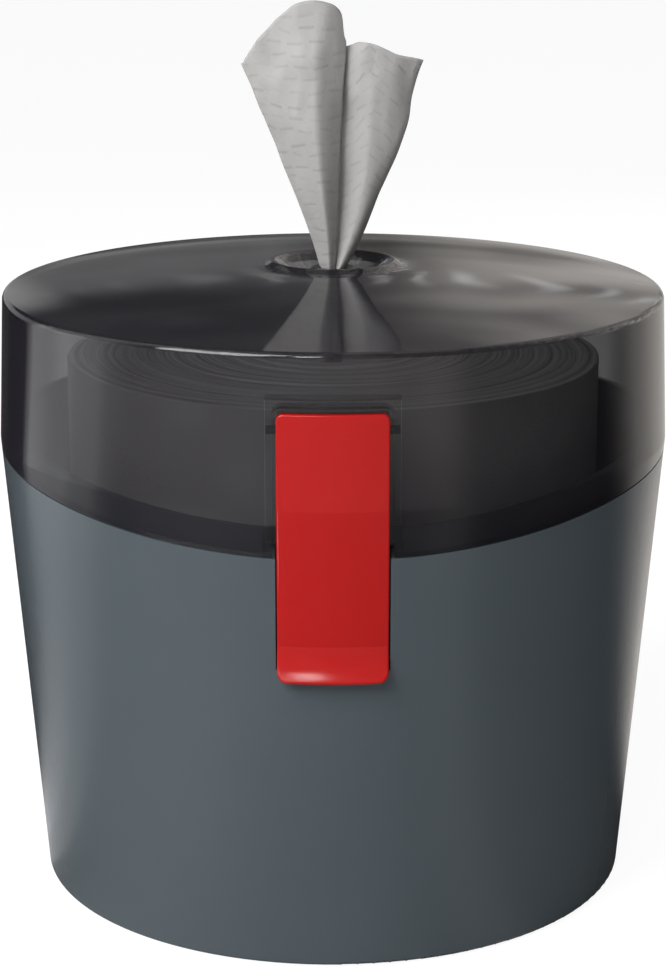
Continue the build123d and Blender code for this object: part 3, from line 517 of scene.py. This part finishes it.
TAIL_ACROSS = 330
TAIL_UP = 84
WEB_THICKNESS = 0.3
# From this far under the nozzle's mouth the folds keep one section. From the mouth down they also
# narrow by this share for each millimetre, to the last share.
MOUTH_DEPTH = 0.6
TUCK_PER_MM = 0.2
TUCK_MOST = 0.66
# Creases of the crumpled cloth, from large to small: depth, and how fast each comes and goes per
# millimetre. The ripples also change across the web. All are full this far above the nozzle.
CREASES_FULL = 70
RIPPLE, RIPPLE_RATE, RIPPLES_ACROSS = 0.7, 0.016, 22
CRUMPLE, CRUMPLE_RATE = 1.4, Vector((0.09, 0.09, 0.06))
CRINKLE, CRINKLE_RATE = 0.55, Vector((0.22, 0.3, 0.11))
CRINKLE_START = Vector((0, 0, 7))
RIPPLE_START = 3.0
RIPPLE_ASIDE = 0.4
CRINKLE_ASIDE = 0.8
# The right lobe is cut askew, and its dashes are drawn closer.
RIGHT_LOBE_TURN = 40
RIGHT_LOBE_SCALE = 1.2


def back_folds(side, corner, deepest, back, z):
    """Points of the folds behind the left (-1) or right (1) lobe, in their order along the web."""
    turns = 2 * BACK_PLEATS
    corner_share, corner_x, corner_y = corner
    folds = []
    for turn in range(turns):
        reach = 1 - (turn + FIRST_TURN) / (turns + MIDDLE_GAP)
        if turn % 2 == 0:
            outer = corner_y + (back - corner_y) * math.sqrt(1 - reach * reach * BACK_ROUND)
            y = outer * (1.0 + UNEVEN_BACK * math.sin(turn * UNEVEN_BACK_RATE + side))
        else:
            y = max(corner_y * reach, deepest * (1 - reach)) + INNER_GAP * back
        uneven = UNEVEN_ASIDE * back * math.sin(turn * UNEVEN_ASIDE_RATE + z * UNEVEN_RISE_RATE)
        x = corner_x * reach + uneven
        step = (turn + 1) / (turns + MIDDLE_WEB)
        share = corner_share * (1 - step) if side < 0 else corner_share + (1 - corner_share) * step
        folds.append((share, x, y))
    return sorted(folds)


def fold_path(z):
    """Points of the wipe's level section at a height, as (share of the web's width, x, y)."""
    front = []
    for share, line in FRONT_FOLDS:
        x = smooth_between([(height, x) for height, x, _ in line], z)
        y = smooth_between([(height, y) for height, _, y in line], z)
        front.append((share, x, y))
    back = smooth_between(BACK_REACH, z)
    deepest = front[CREASE_FOLD][2] + CREASE_GAP * back
    return (back_folds(-1, front[0], deepest, back, z) + front
            + back_folds(1, front[-1], deepest, back, z))


def torn_edge(start, inward, drop, wave, turn):
    """Height of the torn edge behind, which falls and waves from the lobe's corner inwards."""
    return start - drop * inward + wave * math.sin(inward * turn) * min(1, inward * 4)


def top_edge(share):
    """Height of the wipe's top edge at a share of the web's width."""
    (first, left_top), (last, right_top) = TOP_EDGE[0], TOP_EDGE[-1]
    if share < first:
        return torn_edge(left_top, 1 - share / first, drop=8, wave=2.5, turn=18)
    if share > last:
        return torn_edge(right_top, (share - last) / (1 - last), drop=10, wave=-2.5, turn=16)
    return smooth_between(TOP_EDGE, share)


def creased(x, y, z, share):
    """Point of the wipe, moved by the small creases of the crumpled cloth."""
    free = min(1, max(0, (z - NOZZLE_TOP) / CREASES_FULL))
    place = Vector((x, y, z))
    ripple = noise.noise(Vector((share * RIPPLES_ACROSS, z * RIPPLE_RATE, RIPPLE_START))) * RIPPLE * free
    crumple = noise.noise(place * CRUMPLE_RATE) * CRUMPLE * free
    crinkle = noise.noise(place * CRINKLE_RATE + CRINKLE_START) * CRINKLE * free
    aside = RIPPLE_ASIDE * ripple + CRINKLE_ASIDE * crinkle
    return x + aside, y + ripple + crumple + crinkle, z


def tail_point(share, z):
    """Point of the wipe at a share of the web's width and a height."""
    path = fold_path(max(z, NOZZLE_TOP - MOUTH_DEPTH))
    tuck = min(1, max(TUCK_MOST, 1 - (NOZZLE_TOP - z) * TUCK_PER_MM))
    x = tuck * smooth_between([(at, x) for at, x, _ in path], share)
    y = tuck * smooth_between([(at, y) for at, _, y in path], share)
    return creased(x, y, z, share)


def tail_map(line):
    """Map of one row of the wipe: level dashes on the left lobe, and a herringbone on the right."""
    reached = [0.0]
    for before, after in zip(line, line[1:]):
        reached.append(reached[-1] + math.hypot(after[0] - before[0], after[1] - before[1]))
    left_ridge = reached[round(LEFT_RIDGE * TAIL_ACROSS)]
    right_ridge = reached[round(RIGHT_RIDGE * TAIL_ACROSS)]
    crease = round(CREASE * TAIL_ACROSS)
    mapped = []
    for column, (run, point) in enumerate(zip(reached, line)):
        u, v = run - left_ridge, point[2] - TAIL_FOOT
        if column > crease:
            askew = math.radians(RIGHT_LOBE_TURN if run < right_ridge else -RIGHT_LOBE_TURN)
            aside = run - right_ridge
            u, v = (RIGHT_LOBE_SCALE * (aside * math.cos(askew) + v * math.sin(askew)),
                    RIGHT_LOBE_SCALE * (v * math.cos(askew) - aside * math.sin(askew)))
        mapped.append((u / MAP_STEP + MAP_START, v / MAP_STEP + MAP_START))
    return mapped


def wipe_tail():
    """Wipe that fans out of the nozzle in folds, as one sheet."""
    shares = [column / TAIL_ACROSS for column in range(TAIL_ACROSS + 1)]
    heights = [top_edge(share) - TAIL_FOOT for share in shares]
    points, map_points = [], []
    for row in range(TAIL_UP + 1):
        rise = row / TAIL_UP
        line = [tail_point(share, TAIL_FOOT + height * rise) for share, height in zip(shares, heights)]
        points += line
        map_points += tail_map(line)
    made = sheet_piece("pulled_wipe", points, map_points, TAIL_ACROSS, TAIL_UP)
    web = made.modifiers.new("web", "SOLIDIFY")
    web.thickness = WEB_THICKNESS * MM
    web.offset = 0
    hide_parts("wipe_tail")
    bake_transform(made)


wipe_tail()


# Wipe below the nozzle

# Its sections, from the roll up: share of the rise, distance behind the axis, half width, half depth
STRAND_SECTIONS = [(0, 20.2, 6.8, 1.1), (0.31, 16.2, 5.7, 1.3), (0.62, 6.2, 4.0, 2.3), (0.88, 0.4, 2.8, 2.7),
                   (1.0, 0.0, 2.7, 2.7)]
STRAND_ACROSS = 200
STRAND_UP = 60
STRAND_PLEATS = 15
STRAND_PLEAT_DEPTH = 0.34
# Share of a full turn that the web goes round the strand, and that it twists by on the way up
STRAND_WRAP = 0.94
STRAND_TWIST = 0.05


def wipe_strand():
    """Gathered wipe from the inner turn of the roll up to the nozzle, in soft pleats."""
    points, map_points = [], []
    for row in range(STRAND_UP + 1):
        rise = row / STRAND_UP
        z = STRAND_FOOT + (STRAND_TOP - STRAND_FOOT) * rise
        behind, half_x, half_y = (smooth_between([(section[0], section[part]) for section in STRAND_SECTIONS],
                                                 rise) for part in (1, 2, 3))
        for column in range(STRAND_ACROSS + 1):
            share = column / STRAND_ACROSS
            angle = 2 * math.pi * (share * STRAND_WRAP + STRAND_TWIST * rise)
            pleat = math.cos(share * 2 * math.pi * STRAND_PLEATS)
            fold = 1 - STRAND_PLEAT_DEPTH + STRAND_PLEAT_DEPTH * pleat
            points.append((half_x * fold * math.cos(angle), behind + half_y * fold * math.sin(angle), z))
            map_points.append((share * WEB_WIDTH / MAP_STEP, z / MAP_STEP))
    made = sheet_piece("gathered_wipe", points, map_points, STRAND_ACROSS, STRAND_UP)
    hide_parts("wipe_strand")
    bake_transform(made)


wipe_strand()


# Studio

# Painted reflection that shiny surfaces mirror, shown to glossy rays only, as a glow of the floor and in the
# sky:
# (degrees round from the front, brightness near, brightness far off)
PAINTED_REFLECTION_BANDS = [(-180, 0.1, 0.1), (-177, 0.07, 0.07), (-165, 0.05, 0.05), (-140, 0.02, 0.02), (-133, 0.02, 0.02),
         (-124, 0.04, 0.03), (-120, 0.1, 0.6), (-118, 0.2, 1.08), (-106, 0.66, 1.15), (-95, 0.75, 1.45),
         (-93, 0.62, 1.1), (-82, 0.5, 1.0), (-79, 0.24, 0.5), (-70, 0.15, 0.16), (-56, 0.26, 0.18),
         (-38, 0.36, 0.22), (-28, 0.26, 0.32), (-10, 0.1, 0.4), (14, 0.08, 0.4), (22, 0.06, 0.3),
         (32, 0.2, 0.42), (38, 0.18, 0.34), (46, 0.04, 0.05), (80, 0.03, 0.05), (100, 0.02, 0.03),
         (108, 0.1, 0.2), (118, 0.5, 0.55), (134, 0.85, 0.75), (165, 0.6, 0.6), (173, 0.5, 0.5),
         (176.5, 0.34, 0.34), (178, 0.12, 0.12)]
PAINTED_REFLECTION_LEFT_TINT = (0.97, 0.98, 1.0)
PAINTED_REFLECTION_RIGHT_TINT = (1.0, 0.95, 0.9)
# To glossy rays the floor glows with the near bands of the painted reflection up to the first distance
# from the bucket, and with the far ones from the second on.
PAINTED_REFLECTION_NEAR = 350.0
PAINTED_REFLECTION_FAR = 700.0


def painted_reflection_round(tree, way, far):
    """Colour of the painted reflection by the way that a vector points round the bucket."""
    split = add(tree, "SeparateXYZ", {"Vector": way})
    front = add(tree, "Math", {0: split.outputs["Y"], 1: -1.0}, operation="MULTIPLY")
    angle = add(tree, "Math", {0: split.outputs["X"], 1: front.outputs[0]}, operation="ARCTAN2")
    turn = add(tree, "MapRange", {"Value": angle.outputs[0], "From Min": -math.pi, "From Max": math.pi})
    ramp = add(tree, "ValToRGB", {"Fac": turn.outputs["Result"]})
    stops = ramp.color_ramp.elements
    stops.remove(stops[0])
    for degrees, near_light, far_light in PAINTED_REFLECTION_BANDS:
        stop = stops[0] if degrees == PAINTED_REFLECTION_BANDS[0][0] else stops.new((degrees + 180) / 360)
        stop.position = (degrees + 180) / 360
        tint = PAINTED_REFLECTION_RIGHT_TINT if degrees > 0 else PAINTED_REFLECTION_LEFT_TINT
        stop.color = tuple((far_light if far else near_light) * part for part in tint) + (1.0,)
    return ramp.outputs["Color"]


def floor_material():
    """Pale studio floor: white to the camera but for the object's soft shadow; to glossy rays it glows with
    the painted reflection.
    """
    made, tree, out = new_material("pale_studio_floor")
    path = add(tree, "LightPath")
    matt = add(tree, "BsdfDiffuse", {"Color": hex_colour("F4F4F4")})
    shadowed = add(tree, "BsdfDiffuse", {"Color": hex_colour("707070")})
    white = add(tree, "Emission", {"Color": (1, 1, 1, 1), "Strength": 0.93})
    seen = add(tree, "AddShader", {0: shadowed.outputs[0], 1: white.outputs[0]})
    place = add(tree, "TexCoord").outputs["Object"]
    away = add(tree, "VectorMath", {0: place}, operation="LENGTH")
    far = add(tree, "MapRange", {"Value": away.outputs["Value"], "From Min": PAINTED_REFLECTION_NEAR * MM,
                                 "From Max": PAINTED_REFLECTION_FAR * MM})
    # Painted reflection: glossy rays see this glow of the floor, not the lit floor.
    painted_reflection_colour = add(tree, "Mix", {"Factor": far.outputs["Result"], "A": painted_reflection_round(tree, place, False),
                              "B": painted_reflection_round(tree, place, True)}, data_type="RGBA")
    painted_reflection_glow = add(tree, "Emission", {"Color": painted_reflection_colour.outputs["Result"], "Strength": 1.0})
    mirrored = add(tree, "MixShader", {0: path.outputs["Is Glossy Ray"], 1: matt.outputs[0],
                                       2: painted_reflection_glow.outputs[0]})
    shown = add(tree, "MixShader", {0: path.outputs["Is Camera Ray"], 1: mirrored.outputs[0],
                                    2: seen.outputs[0]})
    tree.links.new(shown.outputs[0], out.inputs["Surface"])
    return made


FLOOR_HALF = 9000.0
FLOOR_LEVEL = -0.2


def studio_floor():
    """Flat floor, just under the bucket's pad."""
    corners = [(x * FLOOR_HALF, y * FLOOR_HALF, FLOOR_LEVEL) for x, y in ((-1, -1), (1, -1), (1, 1), (-1, 1))]
    made = mesh_piece("studio_floor", corners, [(0, 1, 2, 3)], floor_material(), smooth=False)


studio_floor()

# Painted reflection of a room behind the bucket, as the lid's domed top mirrors it: only glossy rays see it,
# and its lamps, wall and patches light nothing. Turns are radians from straight behind, to the right where
# they are positive;
# lifts are sines of the angle up from level.
PATCH_SCALE = 9.0
LAMPS_PER_TURN = 190
LAMP_LIFT = 0.225
LAMP_HALF_HEIGHT = 0.045
LAMP_SWAY = 0.1
LAMPS_LEFT, LAMPS_LEFT_TURN = 0.04, -0.1
LAMPS_RIGHT, LAMPS_RIGHT_TURN = 0.5, 0.06
LOW_WALL_LIGHT, LOW_WALL_LIFTS, LOW_WALL_TURNS = 0.13, (0.28, 0.21), (0.01, -0.03)
PALE_PATCH_LIGHT, PALE_PATCH_LIFTS, PALE_PATCH_TURNS = 0.36, (0.31, 0.25), (-0.155, -0.195)


def painted_lamp_row(tree, lift, turn, patches):
    """Painted reflection of a low row of soft lamps along the back of the room, stronger to the right."""
    swayed = add(tree, "Math", {0: patches, 1: LAMP_SWAY, 2: turn}, operation="MULTIPLY_ADD")
    counted = add(tree, "Math", {0: swayed.outputs[0], 1: LAMPS_PER_TURN}, operation="MULTIPLY")
    wave = add(tree, "Math", {0: counted.outputs[0]}, operation="SINE")
    off = add(tree, "Math", {0: lift, 1: LAMP_LIFT}, operation="SUBTRACT")
    gap = add(tree, "Math", {0: off.outputs[0]}, operation="ABSOLUTE")
    band = add(tree, "MapRange", {"Value": gap.outputs[0], "From Min": LAMP_HALF_HEIGHT, "From Max": 0.0},
               interpolation_type="SMOOTHSTEP")
    level = add(tree, "MapRange", {"Value": turn, "From Min": LAMPS_LEFT_TURN, "From Max": LAMPS_RIGHT_TURN,
                                   "To Min": LAMPS_LEFT, "To Max": LAMPS_RIGHT})
    light = add(tree, "Math", {0: band.outputs["Result"], 1: level.outputs["Result"]}, operation="MULTIPLY")
    lamps = add(tree, "Math", {0: light.outputs[0], 1: wave.outputs[0]}, operation="MULTIPLY", use_clamp=True)
    return lamps.outputs[0]


def painted_room_reflection(tree, way):
    """Painted reflection of a room above the floor, which shiny surfaces mirror."""
    # Painted soft patches of light and dark in the reflection, as in a room, so that the lid's gloss isn't
    # even.
    patches = add(tree, "TexNoise", {"Vector": way, "Scale": PATCH_SCALE, "Detail": 1.0}).outputs["Fac"]
    patch = add(tree, "MapRange", {"Value": patches, "From Min": 0.35, "From Max": 0.65, "To Min": 0.6,
                                   "To Max": 1.5})
    patchy = add(tree, "VectorMath", {0: painted_reflection_round(tree, way, True), 3: patch.outputs["Result"]},
                 operation="SCALE")
    split = add(tree, "SeparateXYZ", {"Vector": way})
    lift = split.outputs["Z"]
    turn = add(tree, "Math", {0: split.outputs["X"], 1: split.outputs["Y"]}, operation="ARCTAN2").outputs[0]
    # Painted reflection of a dim low wall on the left, and of a pale patch at its far left that the lid's
    # left edge mirrors.
    low_wall = add(tree, "MapRange", {"Value": lift, "From Min": LOW_WALL_LIFTS[0],
                                      "From Max": LOW_WALL_LIFTS[1], "To Max": LOW_WALL_LIGHT},
                   interpolation_type="SMOOTHSTEP")
    wall_side = add(tree, "MapRange", {"Value": turn, "From Min": LOW_WALL_TURNS[0],
                                       "From Max": LOW_WALL_TURNS[1]})
    wall = add(tree, "Math", {0: low_wall.outputs["Result"], 1: wall_side.outputs["Result"],
                              2: painted_lamp_row(tree, lift, turn, patches)}, operation="MULTIPLY_ADD")
    pale_band = add(tree, "MapRange", {"Value": lift, "From Min": PALE_PATCH_LIFTS[0],
                                       "From Max": PALE_PATCH_LIFTS[1]}, interpolation_type="SMOOTHSTEP")
    pale_side = add(tree, "MapRange", {"Value": turn, "From Min": PALE_PATCH_TURNS[0],
                                       "From Max": PALE_PATCH_TURNS[1], "To Max": PALE_PATCH_LIGHT},
                    interpolation_type="SMOOTHSTEP")
    lit = add(tree, "Math", {0: pale_band.outputs["Result"], 1: pale_side.outputs["Result"],
                             2: wall.outputs[0]}, operation="MULTIPLY_ADD")
    behind = add(tree, "Math", {0: split.outputs["Y"], 1: 0.0}, operation="GREATER_THAN")
    extra = add(tree, "Math", {0: lit.outputs[0], 1: behind.outputs[0]}, operation="MULTIPLY")
    room = add(tree, "VectorMath", {0: patchy.outputs["Vector"], 1: extra.outputs[0]}, operation="ADD")
    return room.outputs["Vector"]


def studio_world():
    """White backdrop to the camera, a dim even fill on the object, and the painted reflection of a room in
    what shines.
    """
    world = bpy.data.worlds.new("studio")
    bpy.context.scene.world = world
    world.use_nodes = True
    tree = world.node_tree
    tree.nodes.clear()
    path = add(tree, "LightPath")
    fill = add(tree, "Background", {"Color": hex_colour("E2E4E8"), "Strength": 0.16})
    backdrop = add(tree, "Background", {"Color": (1, 1, 1, 1), "Strength": 1.0})
    way = add(tree, "TexCoord").outputs["Generated"]
    # Painted reflection: only glossy rays see this room, and it lights nothing.
    room = add(tree, "Background", {"Color": painted_room_reflection(tree, way), "Strength": 1.0})
    mirrored = add(tree, "MixShader", {0: path.outputs["Is Glossy Ray"], 1: fill.outputs[0],
                                       2: room.outputs[0]})
    shown = add(tree, "MixShader", {0: path.outputs["Is Camera Ray"], 1: mirrored.outputs[0],
                                    2: backdrop.outputs[0]})
    add(tree, "OutputWorld", {"Surface": shown.outputs[0]})


studio_world()

# Softboxes look at the middle of the bucket. Their places and sizes are in metres, as the camera's are.
LIT_MIDDLE = Vector((0, 0, 0.12))


def softbox(name, azimuth, elevation, distance, width, height, power, mirrored=True):
    """Area lamp that looks at the bucket; azimuth 0 is in front and turns towards +X."""
    turn, lift = math.radians(azimuth), math.radians(elevation)
    away = Vector((math.sin(turn) * math.cos(lift), -math.cos(turn) * math.cos(lift), math.sin(lift)))
    lamp = bpy.data.lights.new(name, "AREA")
    lamp.shape = "RECTANGLE"
    lamp.size, lamp.size_y, lamp.energy = width, height, power
    made = bpy.data.objects.new(name, lamp)
    made.location = LIT_MIDDLE + away * distance
    made.rotation_euler = away.to_track_quat("Z", "Y").to_euler()
    made.visible_camera = False
    made.visible_glossy = mirrored
    bpy.context.scene.collection.objects.link(made)


# The key lights the left front, the small one makes the highlight on the latch's lip, and the rim
# lights the back.
softbox("key_softbox", azimuth=-44, elevation=40, distance=1.5, width=0.9, height=0.9, power=26)
softbox("lip_softbox", azimuth=-9, elevation=37, distance=1.5, width=0.2, height=0.32, power=3)
softbox("rim_softbox", azimuth=150, elevation=25, distance=1.4, width=0.6, height=1.0, power=4,
        mirrored=False)

# Camera of the photograph, in front of the bucket and looking down on it
CAMERA_PLACE = (0, -0.8464, 0.3565)
CAMERA_DIP = 15.19
CAMERA_LENS = 95.34
CAMERA_SENSOR = 36.0
CAMERA_SHIFT = 0.0162
CAMERA_REACH = 60.0


def photo_camera():
    """Camera at the photograph's viewing angle."""
    data = bpy.data.cameras.new("camera")
    data.lens = CAMERA_LENS
    data.sensor_fit = "VERTICAL"
    data.sensor_height = CAMERA_SENSOR
    data.shift_y = CAMERA_SHIFT
    data.clip_end = CAMERA_REACH
    made = bpy.data.objects.new("camera", data)
    made.location = CAMERA_PLACE
    made.rotation_euler = (math.radians(90 - CAMERA_DIP), 0, 0)
    bpy.context.scene.collection.objects.link(made)
    return made


bpy.context.scene.camera = photo_camera()
bpy.context.scene.view_settings.view_transform = "Standard"
